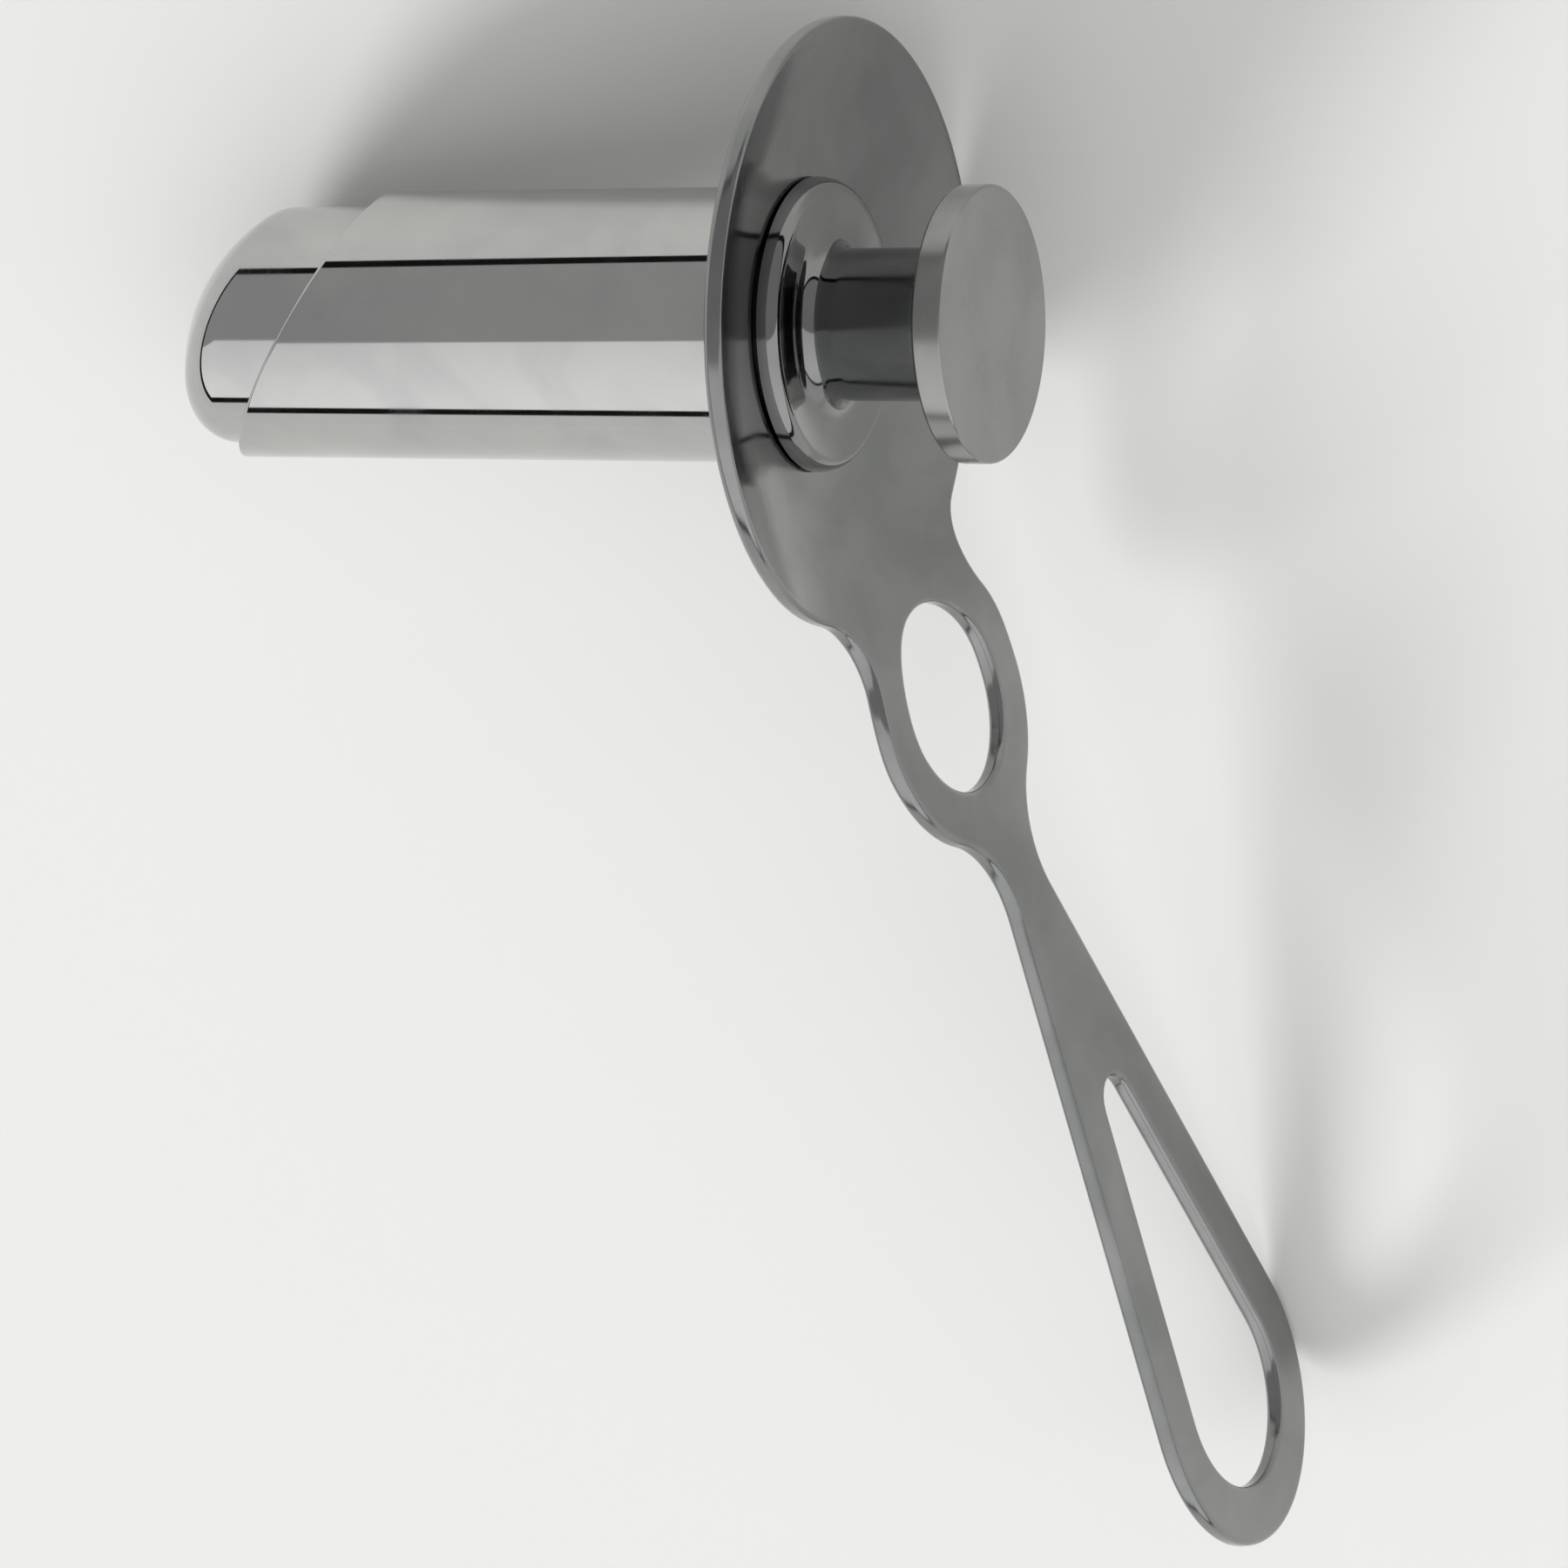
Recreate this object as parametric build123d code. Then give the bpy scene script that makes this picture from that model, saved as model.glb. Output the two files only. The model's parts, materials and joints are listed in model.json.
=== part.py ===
from build123d import *
from math import asin, atan, cos, degrees, hypot, pi, radians, sin, tan
import os

# Tubular anal speculum with its obturator pushed home, lying on its side as it comes to rest.
# It is drawn in an instrument frame and laid down at the end. In the instrument frame +X runs
# along the tube towards the grip, the handle hangs towards -Z, Y = 0 is the plane of symmetry
# and X = 0 is close to the plane of the flange's rim. Lengths are millimetres, angles are degrees.

# Sheath tube
TUBE_R = 15.0
TUBE_WALL = 1.0
TUBE_CUT_X = -66.4
TUBE_CUT_SLOPE = 0.70
TUBE_LIP_ROUND = 0.45

# Flange and handle, one plate
PLATE_THICK = 2.0
PLATE_EDGE_ROUND = 0.4
FLANGE_HALF_WIDTH = 33.8
FLANGE_HALF_HEIGHT = 32.9
FLANGE_RISE = 0.1
SEAT_DEPTH = 0.2
DISH_FLOOR_X = -4.5
DISH_DEPTH = 4.9
DISH_FLOOR_WIDTH = 1.0
DISH_POWER = 1.6
HANDLE_LEAN = 13.6
HANDLE_FORWARD = 2.2
BLEND_ABOVE_WAIST = 16.5
BLEND_BELOW_WAIST = 13.5
WAIST_HALF = 14.5
WAIST_FLANGE_ROUND = 6.5
WAIST_RING_ROUND = 9.5
RING_R = 17.0
FINGER_HOLE_R = 10.75
NECK_TIP_FROM_RING = 11.6
NECK_TIP_R = 1.56
NECK_ROUND = 12.0
LOOP_FROM_RING = 91.6
LOOP_R = 18.3
LOOP_BAND = 6.85
SLOT_TIP_FROM_RING = 52.8
SLOT_TIP_R = 3.2

# Obturator: hollow plug with an oblique domed nose
PLUG_CLEARANCE = 0.6
PLUG_WALL = 1.0
DOME_BEHIND_CUT = 5.4
DOME_DROP = 5.7
DOME_SPARE = 1.8
NOSE_ROUND = 5.0
SPIGOT_LENGTH = 6.0

# Obturator: stop disc and stem turned from one bar, with a knob on the stem's end
SEAT_GAP = 0.05
STOP_LAP = 1.0
STOP_SHOULDER = 1.3
STOP_THICK = 2.4
STOP_DISH = 0.7
STEM_R = 8.25
STEM_ROUND = 2.2
STEM_LENGTH = 15.05
KNOB_R = 14.9
KNOB_THICK = 3.3
KNOB_EDGE_ROUND = 0.35

# Drawing aids: sizes of cutting blocks, spacing of the plate's surface points and of rest samples
REACH = 400.0
SURFACE_STEP = 3.0
SURFACE_TOLERANCE = 0.01
SURFACE_MARGIN = 4.0
EDGE_SAMPLES = 48
MESH_TOLERANCE = 0.01
REST_ROUNDS = 12
HALVINGS = 60

# Derived sizes along and across the tube
BORE_R = TUBE_R - TUBE_WALL
PLUG_R = BORE_R - PLUG_CLEARANCE
STOP_R = TUBE_R + STOP_LAP
STOP_FACE_R = STOP_R - STOP_SHOULDER
DISH_FLOOR_R = STOP_R + DISH_FLOOR_WIDTH
SEAT_X = DISH_FLOOR_X + SEAT_DEPTH
STOP_BACK_X = SEAT_X + SEAT_GAP
STOP_FACE_X = STOP_BACK_X + STOP_THICK
KNOB_BACK_X = STOP_FACE_X + STEM_LENGTH
KNOB_FRONT_X = KNOB_BACK_X + KNOB_THICK
DOME_X = TUBE_CUT_X + DOME_BEHIND_CUT
DOME_R = PLUG_R + DOME_DROP + DOME_SPARE



def oval_corner(half_height, half_width, corner_r, half):
    """Down from an oval's centre: where the line across its concave corner starts, and the corner's centre."""
    low, high = 0.0, pi / 2
    for _ in range(HALVINGS):
        turn = (low + high) / 2
        down, out = half_height * cos(turn), half_width * sin(turn)
        slope = hypot(half_width * cos(turn), half_height * sin(turn))
        normal_down, normal_out = half_width * cos(turn) / slope, half_height * sin(turn) / slope
        if out + corner_r * normal_out < half + corner_r:
            low = turn
        else:
            high = turn
    return down - out * normal_down / normal_out, down + corner_r * normal_down


# Derived places down the plate: the waist is below the tube's axis, the rest is below the waist
LEAN = radians(HANDLE_LEAN)
FLANGE_HEEL, FLANGE_REACH = oval_corner(FLANGE_HALF_HEIGHT, FLANGE_HALF_WIDTH, WAIST_FLANGE_ROUND, WAIST_HALF)
WAIST_DOWN = FLANGE_REACH - FLANGE_RISE
RING_AT = oval_corner(RING_R, RING_R, WAIST_RING_ROUND, WAIST_HALF)[1]
NECK_TIP_AT = RING_AT + NECK_TIP_FROM_RING
LOOP_AT = RING_AT + LOOP_FROM_RING
LOOP_SLOT_R = LOOP_R - LOOP_BAND
SLOT_TIP_AT = RING_AT + SLOT_TIP_FROM_RING
HANDLE_END = LOOP_AT + LOOP_R
BLEND_START = WAIST_DOWN - BLEND_ABOVE_WAIST
BLEND_END = WAIST_DOWN + BLEND_BELOW_WAIST
HANDLE_DOWN = Vector(sin(LEAN), 0, -cos(LEAN))
HANDLE_NORMAL = Vector(cos(LEAN), 0, sin(LEAN))
HANDLE_ORIGIN = Vector(HANDLE_FORWARD, 0, -WAIST_DOWN)
HANDLE_PLANE = Plane(origin=HANDLE_ORIGIN, x_dir=HANDLE_DOWN, z_dir=HANDLE_NORMAL)
FLANGE_PLANE = Plane(origin=(0, 0, 0), x_dir=(0, 0, -1), z_dir=(1, 0, 0))


def smooth(value):
    """Ease from 0 to 1 with no slope at either end."""
    t = min(max(value, 0.0), 1.0)
    return t * t * (3 - 2 * t)


def plate_face_x(y, z):
    """X of the plate's grip-side face: a dished disc that runs out into the leaning handle."""
    radius = hypot(y, (z - FLANGE_RISE) * FLANGE_HALF_WIDTH / FLANGE_HALF_HEIGHT)
    rise = max(radius - DISH_FLOOR_R, 0.0) / (FLANGE_HALF_WIDTH - DISH_FLOOR_R)
    dish = DISH_FLOOR_X + DISH_DEPTH * rise**DISH_POWER
    handle = HANDLE_FORWARD + (-z - WAIST_DOWN) * tan(LEAN)
    share = smooth((-z - BLEND_START) / (BLEND_END - BLEND_START))
    return (1 - share) * dish + share * handle


def spaced(low, high):
    """Evenly spaced values from low to high, about SURFACE_STEP apart."""
    count = int((high - low) / SURFACE_STEP) + 1
    return [low + (high - low) * i / count for i in range(count + 1)]


def plate_blank():
    """Curved sheet, larger than the finished plate, with an even thickness measured along X."""
    side = FLANGE_HALF_WIDTH + SURFACE_MARGIN
    top = FLANGE_HALF_HEIGHT + FLANGE_RISE + SURFACE_MARGIN
    bottom = -WAIST_DOWN - HANDLE_END * cos(LEAN) - SURFACE_MARGIN
    points = [[Vector(plate_face_x(y, z), y, z) for z in spaced(bottom, top)] for y in spaced(-side, side)]
    face = Face.make_surface_from_array_of_points(points, tol=SURFACE_TOLERANCE, min_deg=3, max_deg=3)
    return extrude(face, amount=PLATE_THICK / cos(LEAN), dir=(-1, 0, 0))


def side_slope(end_at, end_r, tip_at, tip_r):
    """Angle, in radians, between a teardrop's straight side and its centre line."""
    return asin((end_r - tip_r) / (end_at - tip_at))


def teardrop(end_at, end_r, tip_at, tip_r):
    """Large round end and small round tip, joined by straight tangent sides."""
    slope = side_slope(end_at, end_r, tip_at, tip_r)

    def tangent(at, radius, side):
        return (at - radius * sin(slope), side * radius * cos(slope))

    tip_left, tip_right = tangent(tip_at, tip_r, 1), tangent(tip_at, tip_r, -1)
    end_left, end_right = tangent(end_at, end_r, 1), tangent(end_at, end_r, -1)
    outline = Line(tip_left, end_left)
    outline += ThreePointArc(end_left, (end_at + end_r, 0), end_right)
    outline += Line(end_right, tip_right)
    outline += ThreePointArc(tip_right, (tip_at - tip_r, 0), tip_left)
    return make_face(outline)


def axis_distance(edge):
    """Distance from the tube's axis to the start of an edge."""
    start = edge.position_at(0)
    return hypot(start.Y, start.Z)


def inner_corners(heel_at, centre, radius, foot):
    """Pair of concave corners between a round outline and a foot point, webbed from heel_at on the centre line."""
    corners = Sketch()
    for side in (1, -1):
        middle = (centre[0], side * centre[1])
        web = Polyline((heel_at, 0), middle, (foot[0], side * foot[1]), (foot[0], 0), close=True)
        corners += make_face(web) - Pos(*middle) * Circle(radius)
    return corners


def waist_corners(heel_at, corner_r, waist_at):
    """Concave corners from the flange or the finger ring into the plate's narrowest place."""
    return inner_corners(heel_at, (waist_at, WAIST_HALF + corner_r), corner_r, (waist_at, WAIST_HALF))


def neck_corners():
    """Concave corners from the finger ring into the straight sides of the loop."""
    slope = side_slope(LOOP_AT, LOOP_R, NECK_TIP_AT, NECK_TIP_R)
    across = NECK_TIP_R + NECK_ROUND + sin(slope) * (RING_AT - NECK_TIP_AT)
    along = ((RING_R + NECK_ROUND) ** 2 - across**2) ** 0.5
    centre_at = RING_AT + along * cos(slope) - across * sin(slope)
    centre_half = along * sin(slope) + across * cos(slope)
    foot = (centre_at + NECK_ROUND * sin(slope), centre_half - NECK_ROUND * cos(slope))
    return inner_corners(RING_AT, (centre_at, centre_half), NECK_ROUND, foot)


def flange_outline():
    """Flange seen along the tube, measured down from the tube's axis to the waist."""
    oval = Pos(-FLANGE_RISE, 0) * Ellipse(FLANGE_HALF_HEIGHT, FLANGE_HALF_WIDTH)
    keep = Pos(WAIST_DOWN - REACH / 2, 0) * Rectangle(REACH, REACH)
    return (oval + waist_corners(FLANGE_HEEL - FLANGE_RISE, WAIST_FLANGE_ROUND, WAIST_DOWN)) & keep


def handle_outline():
    """Handle in its own plane, measured down from the waist: finger ring, neck and loop."""
    outline = Pos(RING_AT, 0) * Circle(RING_R)
    outline += teardrop(LOOP_AT, LOOP_R, NECK_TIP_AT, NECK_TIP_R)
    outline += neck_corners() + waist_corners(RING_AT, WAIST_RING_ROUND, 0)
    outline &= Pos(REACH / 2, 0) * Rectangle(REACH, REACH)
    return outline + Rectangle(PLATE_THICK, 2 * WAIST_HALF)


def make_handle_plate():
    """Flange, finger ring and loop handle, stamped from one sheet and dished at the flange."""
    deep = REACH / 8
    trim = extrude(FLANGE_PLANE * flange_outline(), amount=deep, both=True)
    trim += extrude(HANDLE_PLANE * handle_outline(), amount=deep, both=True)
    trim -= extrude(HANDLE_PLANE * (Pos(RING_AT, 0) * Circle(FINGER_HOLE_R)), amount=deep, both=True)
    slot = teardrop(LOOP_AT, LOOP_SLOT_R, SLOT_TIP_AT, SLOT_TIP_R)
    trim -= extrude(HANDLE_PLANE * slot, amount=deep, both=True)
    trim -= Rot(0, 90, 0) * Cylinder(TUBE_R, 2 * deep)
    plate = (plate_blank() & trim).solid()
    rims = [edge for face in plate.faces().filter_by(GeomType.BSPLINE) for edge in face.edges()]
    return fillet([edge for edge in rims if axis_distance(edge) > TUBE_R + PLATE_THICK], PLATE_EDGE_ROUND)


def make_sheath_tube():
    """Round tube, cut obliquely at the far end and seated in the flange at the near end."""
    length = -TUBE_CUT_X * 2
    tube = Rot(0, 90, 0) * (Cylinder(TUBE_R, length) - Cylinder(BORE_R, length))
    tube = Pos(SEAT_X - length / 2, 0, 0) * tube
    angle = degrees(atan(TUBE_CUT_SLOPE))
    cutter = Pos(TUBE_CUT_X, 0, 0) * Rot(0, angle, 0) * Pos(-REACH / 2, 0, 0) * Box(REACH, REACH, REACH)
    tube -= cutter
    lip = tube.edges().filter_by(GeomType.ELLIPSE)
    return fillet(lip, TUBE_LIP_ROUND)


def make_obturator_shell():
    """Closed thin shell that fills the tube, with an oblique domed nose."""
    length = -TUBE_CUT_X * 2

    def plug(inset):
        dome = Pos(DOME_X, 0, -DOME_DROP) * Sphere(DOME_R - inset)
        stock = Pos(STOP_BACK_X - length / 2, 0, 0) * Rot(0, 90, 0) * Cylinder(PLUG_R - inset, length)
        near = Pos(DOME_X + REACH / 2, 0, 0) * Box(REACH, REACH, REACH)
        body = (stock & near) + (stock & dome)
        rim = [edge for edge in body.edges() if edge.center().X < DOME_X - NOSE_ROUND]
        return fillet(rim, NOSE_ROUND - inset)

    return plug(0) - plug(PLUG_WALL)


def make_grip_spindle():
    """Stop disc and stem in one turning, with a spigot that closes the shell's mouth."""
    back = STOP_BACK_X
    inner = PLUG_R - PLUG_WALL
    tip = back - SPIGOT_LENGTH
    stem_foot = STOP_FACE_X - STOP_DISH
    with BuildPart() as spindle:
        with BuildSketch(Plane.XZ) as section:
            with BuildLine():
                Polyline((tip, 0), (tip, inner), (back, inner), (back, STOP_R))
                Spline(
                    (back, STOP_R),
                    (STOP_FACE_X, STOP_FACE_R),
                    tangents=[(0.6, 0.25), (0.15, -1)],
                )
                Polyline(
                    (STOP_FACE_X, STOP_FACE_R),
                    (stem_foot, STEM_R + STEM_ROUND),
                )
                RadiusArc((stem_foot, STEM_R + STEM_ROUND), (stem_foot + STEM_ROUND, STEM_R), -STEM_ROUND)
                Polyline((stem_foot + STEM_ROUND, STEM_R), (KNOB_BACK_X, STEM_R), (KNOB_BACK_X, 0), (tip, 0))
            make_face()
        revolve(axis=Axis.X)
    return spindle.part


def make_grip_knob():
    """Flat round knob on the end of the stem."""
    middle = (KNOB_BACK_X + KNOB_FRONT_X) / 2
    knob = Pos(middle, 0, 0) * Rot(0, 90, 0) * Cylinder(KNOB_R, KNOB_THICK)
    return fillet(knob.edges().filter_by(GeomType.CIRCLE), KNOB_EDGE_ROUND)


def outline_points(shapes):
    """Points along every edge of the shapes."""
    points = []
    for shape in shapes:
        for edge in shape.edges():
            points += [edge.position_at(i / EDGE_SAMPLES) for i in range(EDGE_SAMPLES + 1)]
    return points


def rest_plane(shapes):
    """Plane the instrument lies on: it touches the flange's rim, the tube's far end and the loop."""
    points = outline_points(shapes)
    flange = [p for p in points if abs(p.X) < PLATE_THICK and p.Z > -WAIST_DOWN]
    nose = [p for p in points if p.X < TUBE_CUT_X / 2]
    loop = [p for p in points if p.Z < -WAIST_DOWN - SLOT_TIP_AT]
    up = Vector(0, -1, 0)
    for _ in range(REST_ROUNDS):
        feet = [min(group, key=lambda p: p.dot(up)) for group in (flange, nose, loop)]
        up = (feet[1] - feet[0]).cross(feet[2] - feet[0]).normalized()
        if up.Y > 0:
            up = up * -1
    return feet[0], up


def rest_location(shapes):
    """Location that lays the instrument on Z = 0, handle towards -Y, above the origin's centre."""
    foot, up = rest_plane(shapes)
    along = Vector(0, 0, 1)
    along = (along - up * along.dot(up)).normalized()
    floor = Plane(origin=foot, x_dir=along.cross(up), z_dir=up)
    laid = floor.location.inverse()
    points = [point for shape in shapes for point in shape.moved(laid).tessellate(MESH_TOLERANCE)[0]]
    xs, ys = [p.X for p in points], [p.Y for p in points]
    middle_x, middle_y = (min(xs) + max(xs)) / 2, (min(ys) + max(ys)) / 2
    return Pos(-middle_x, -middle_y, -min(p.Z for p in points)) * laid


def main():
    parts = {
        "sheath_tube": make_sheath_tube(),
        "handle_plate": make_handle_plate(),
        "obturator_shell": make_obturator_shell(),
        "grip_spindle": make_grip_spindle(),
        "grip_knob": make_grip_knob(),
    }
    solids = {name: shape.solid() for name, shape in parts.items()}
    place = rest_location(list(solids.values()))
    os.makedirs("parts", exist_ok=True)
    for name, solid in solids.items():
        export_step(solid.moved(place), f"parts/{name}.step")

    def laid(point):
        moved = Vertex(*point).moved(place).center()
        return tuple(round(value, 5) for value in moved)

    print("instrument origin at", laid((0, 0, 0)))
    print("instrument x at", laid((1, 0, 0)))
    print("instrument y at", laid((0, 1, 0)))
    print("instrument z at", laid((0, 0, 1)))


main()
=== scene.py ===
import json
import logging
import math
from collections.abc import Callable
from dataclasses import dataclass, field
from enum import Enum

import bmesh
import bpy
from mathutils import Matrix, Vector


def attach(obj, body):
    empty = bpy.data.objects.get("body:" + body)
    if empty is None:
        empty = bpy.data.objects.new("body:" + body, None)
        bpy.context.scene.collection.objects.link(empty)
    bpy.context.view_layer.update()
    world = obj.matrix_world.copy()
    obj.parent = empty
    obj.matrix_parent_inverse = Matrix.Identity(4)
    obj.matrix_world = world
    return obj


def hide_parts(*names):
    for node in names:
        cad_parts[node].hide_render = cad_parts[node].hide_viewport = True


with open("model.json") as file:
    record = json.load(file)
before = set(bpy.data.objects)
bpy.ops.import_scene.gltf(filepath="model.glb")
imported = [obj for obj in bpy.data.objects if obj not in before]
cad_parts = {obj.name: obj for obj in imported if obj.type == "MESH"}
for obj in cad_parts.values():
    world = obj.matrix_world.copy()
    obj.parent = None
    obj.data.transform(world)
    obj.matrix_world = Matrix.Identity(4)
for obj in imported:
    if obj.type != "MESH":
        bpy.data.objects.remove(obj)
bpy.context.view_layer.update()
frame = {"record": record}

# Looks of a tubular anal speculum with its obturator, in polished stainless steel.
# Meshes are drawn in the instrument's own frame, in millimetres: +X runs along the tube towards
# the grip, the handle hangs towards -Z, Y = 0 is the plane of symmetry. InstrumentFrame then lays
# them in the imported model's frame, in metres, by the slide's axis and the finger hole's place.

LOG = logging.getLogger("speculum")
MM = 0.001
FULL_TURN = 2 * math.pi
# Facets round a turned piece, along a quarter of its profile, at least along an arc of the plate,
# and across a rounded edge.
LATHE_STEPS = 192
ARC_STEPS = 12
MIN_ARC_STEPS = 4
ROUNDING_STEPS = 5
# Rounds of halving or of repeated fitting, more than enough for a thousandth of a millimetre.
HALVINGS = 60
LAY_ROUNDS = 12
# Edges sharper than this keep a crisp shading.
SHARP_CREASE = math.radians(40)
# Distances in millimetres within which points, the plate's halves, its outline's runs and the
# knob's rim count as meeting, and past which an edge isn't square to the plate's cells.
SAME_PLACE = 1e-4
MIRROR_WELD = 1e-3
OUTLINE_WELD = 0.02
ON_RIM = 0.01
OFF_SQUARE = 10 * SAME_PLACE
# Temporary marks on the plate's faces: in the even band along a rim, or in the middle.
RIM_FACE, MIDDLE_FACE = 0, 1
# Noise levels at which haze starts and is full, and at which a streak in it is full.
HAZE_START, HAZE_FULL, STREAK_FULL = 0.35, 0.7, 0.6
Place = tuple[float, float]
Edges = list[bmesh.types.BMEdge]


def linear_colour(code: str) -> tuple[float, float, float, float]:
    """Turn an sRGB hex colour into Blender's linear colour.

    Args:
        code: Colour such as "#c4c4c2".

    Returns:
        Linear red, green, blue and an alpha of 1.
    """
    channels = [int(code[i : i + 2], 16) / 255 for i in (1, 3, 5)]
    linear = [c / 12.92 if c <= 0.04045 else ((c + 0.055) / 1.055) ** 2.4 for c in channels]
    return (linear[0], linear[1], linear[2], 1.0)


def add_node(
    tree: bpy.types.NodeTree,
    kind: str,
    inputs: dict[str | int, object] | None = None,
    **settings: object,
) -> bpy.types.Node:
    """Add a shader node with its settings, values and links.

    Args:
        tree: Node tree that gets the node.
        kind: Blender's node type.
        inputs: Socket name or number to a plain value, or to an output socket to link from.
        **settings: Properties of the node itself.

    Returns:
        The new node.
    """
    node = tree.nodes.new(kind)
    for name, value in settings.items():
        setattr(node, name, value)
    for name, value in (inputs or {}).items():
        if isinstance(value, bpy.types.NodeSocket):
            tree.links.new(value, node.inputs[name])
        else:
            node.inputs[name].default_value = value
    return node


def ease(value: float) -> float:
    """Ease from 0 to 1 with no slope at either end.

    Args:
        value: Anything; below 0 counts as 0 and above 1 as 1.

    Returns:
        The eased value.
    """
    t = min(max(value, 0.0), 1.0)
    return t * t * (3 - 2 * t)


def slerp(first: Vector, second: Vector, share: float) -> Vector:
    """Turn one direction towards another.

    Args:
        first: Direction to start from, of length 1.
        second: Direction to end at, of length 1.
        share: How much of the way to turn, from 0 to 1.

    Returns:
        The turned direction.
    """
    turn = first.angle(second)
    if turn < SAME_PLACE:
        return first.copy()
    return (first * math.sin((1 - share) * turn) + second * math.sin(share * turn)) / math.sin(turn)


@dataclass(frozen=True)
class InstrumentFrame:
    """Where the instrument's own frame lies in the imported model's frame.

    Args:
        origin: The instrument's origin, in metres.
        tube: Direction of the tube's axis, towards the grip.
        side: Direction of the instrument's +Y.
        up: Direction away from the handle.
        lean: Angle between the handle and the plane across the tube, in radians.
    """

    origin: Vector
    tube: Vector
    side: Vector
    up: Vector
    lean: float

    @classmethod
    def from_record(cls, record: dict, hole_place: Callable[[float], Vector]) -> "InstrumentFrame":
        """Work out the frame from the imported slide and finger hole.

        Args:
            record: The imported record.
            hole_place: Gives the finger hole's centre in the instrument's frame, in mm, for a lean.

        Returns:
            The instrument's frame.
        """
        tube = Vector(record["behaviour"]["joints"][0]["axis"]).normalized()
        hole = record["mounts"][0]
        normal = Vector(hole["axis"]).normalized()
        side = -tube.cross(normal).normalized()
        up = tube.cross(side)
        lean = tube.angle(normal)
        x, y, z = hole_place(lean) * MM
        origin = Vector(hole["pos_m"]) - tube * x - side * y - up * z
        return cls(origin, tube, side, up, lean)

    def turn(self) -> Matrix:
        """Rotation from the instrument's frame to the model's frame."""
        return Matrix((self.tube, self.side, self.up)).transposed()

    def laid(self) -> Matrix:
        """Matrix that takes instrument millimetres to model metres."""
        return Matrix.Translation(self.origin) @ self.turn().to_4x4() @ Matrix.Scale(MM, 4)


class Grain(Enum):
    """Which way the marks of finishing run over a steel surface.

    TURNED is rings round the tube's axis, from the lathe and the polishing belt. BUFFED is long
    strokes down the handle, from the buffing wheel. A value says how closely the marks follow each
    other, as shares of one per mark spacing: along the axis, out from it and round it for TURNED,
    and through the sheet, across it and down it for BUFFED.
    """

    TURNED = (1.0, 1.0, 0.0)
    BUFFED = (0.5, 1.0, 0.03)


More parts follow.
